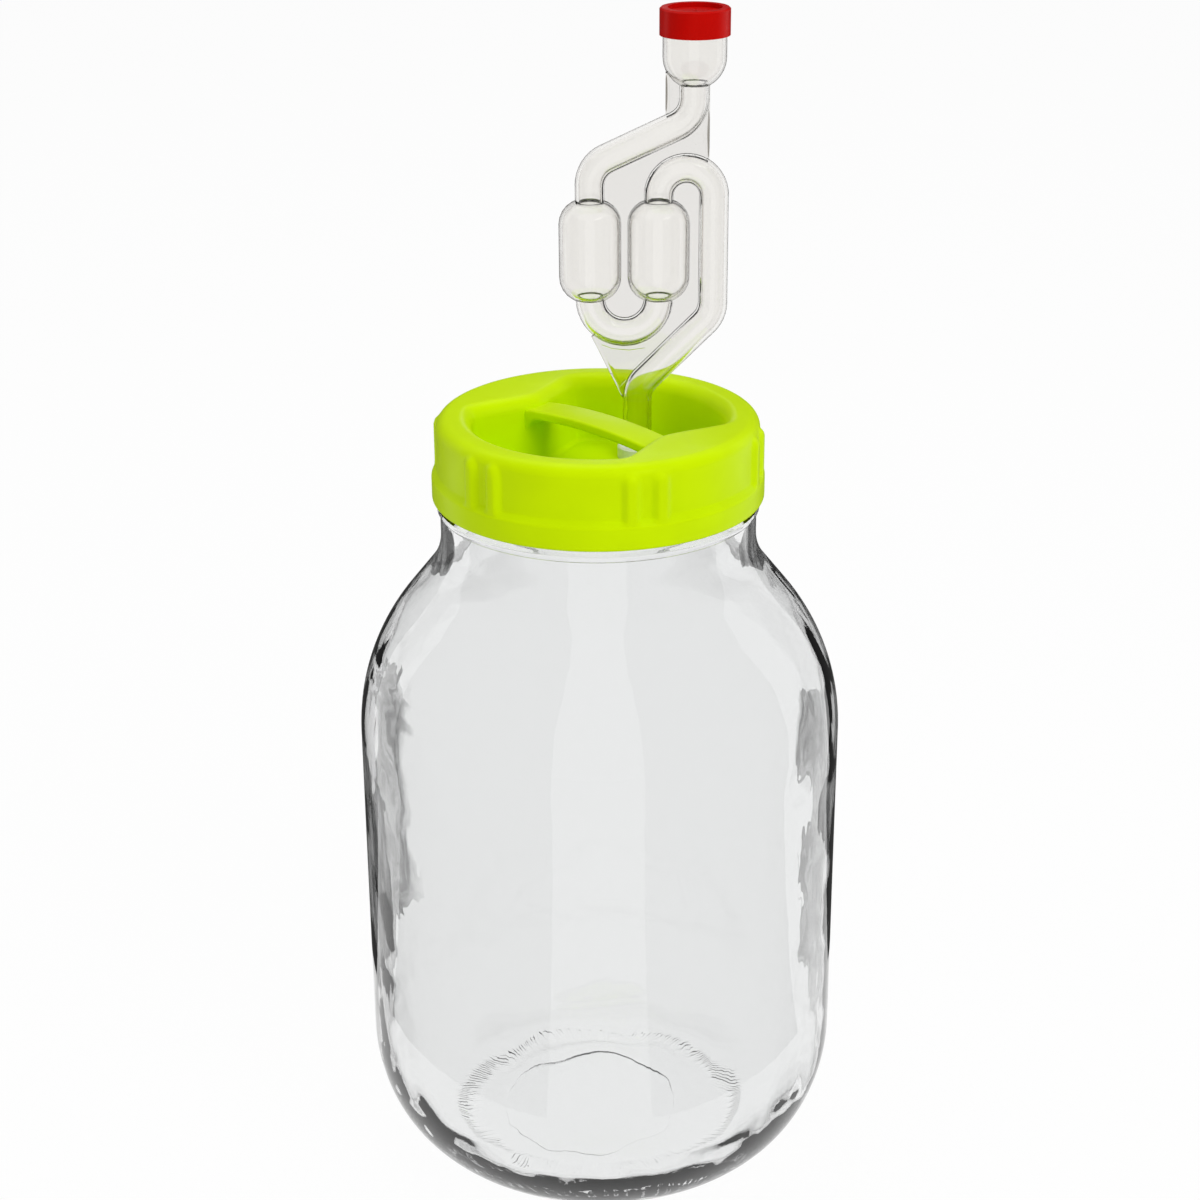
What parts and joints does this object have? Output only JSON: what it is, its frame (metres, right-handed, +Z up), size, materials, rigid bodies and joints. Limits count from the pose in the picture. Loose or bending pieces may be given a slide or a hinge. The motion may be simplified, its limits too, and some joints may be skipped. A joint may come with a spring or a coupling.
{
  "type": "fermentation jar with airlock",
  "caption": "Glass fermentation jar with a ribbed screw lid, a sunk handle well, and a clear airlock that stands in a rubber grommet.",
  "frame": {"origin": "centre of the jar's base, on the table", "axes": "+Z up along the jar's axis, -Y towards the front, with the airlock to the right of the middle and behind it"},
  "size_m": [0.1624, 0.1624, 0.3937],
  "materials": {
    "jar_glass": "clear pressed glass, slightly wavy",
    "seal_rubber": "soft matt",
    "lid_plastic": "satin moulded plastic",
    "grommet_rubber": "soft translucent rubber",
    "airlock_plastic": "clear moulded plastic",
    "cap_plastic": "satin moulded plastic"
  },
  "bodies": {
    "jar": {"jar": "jar_glass"},
    "lid_seal": {"lid_seal": "seal_rubber"},
    "lid": {"lid": "lid_plastic"},
    "grommet": {"grommet": "grommet_rubber"},
    "airlock": {"airlock": "airlock_plastic"},
    "airlock_cap": {"airlock_cap": "cap_plastic"}
  },
  "joints": [
    {"name": "lid_lift", "type": "slide", "parent": "jar", "child": "lid_seal", "axis": [0, 0, 1], "range_m": [0, 0.05]},
    {"name": "lid_turn", "type": "hinge", "parent": "lid_seal", "child": "lid", "pos_m": [0, 0, 0.2646], "axis": [0, 0, 1], "range_deg": [0, 450]},
    {"name": "airlock_turn", "type": "hinge", "parent": "lid", "child": "grommet", "pos_m": [0.0133, 0.024, 0.245], "axis": [0, 0, 1], "continuous": true},
    {"name": "airlock_pull", "type": "slide", "parent": "grommet", "child": "airlock", "axis": [0, 0, 1], "range_m": [0, 0.03]},
    {"name": "cap_pull", "type": "slide", "parent": "airlock", "child": "airlock_cap", "axis": [0, 0, 1], "range_m": [0, 0.015]}
  ]
}
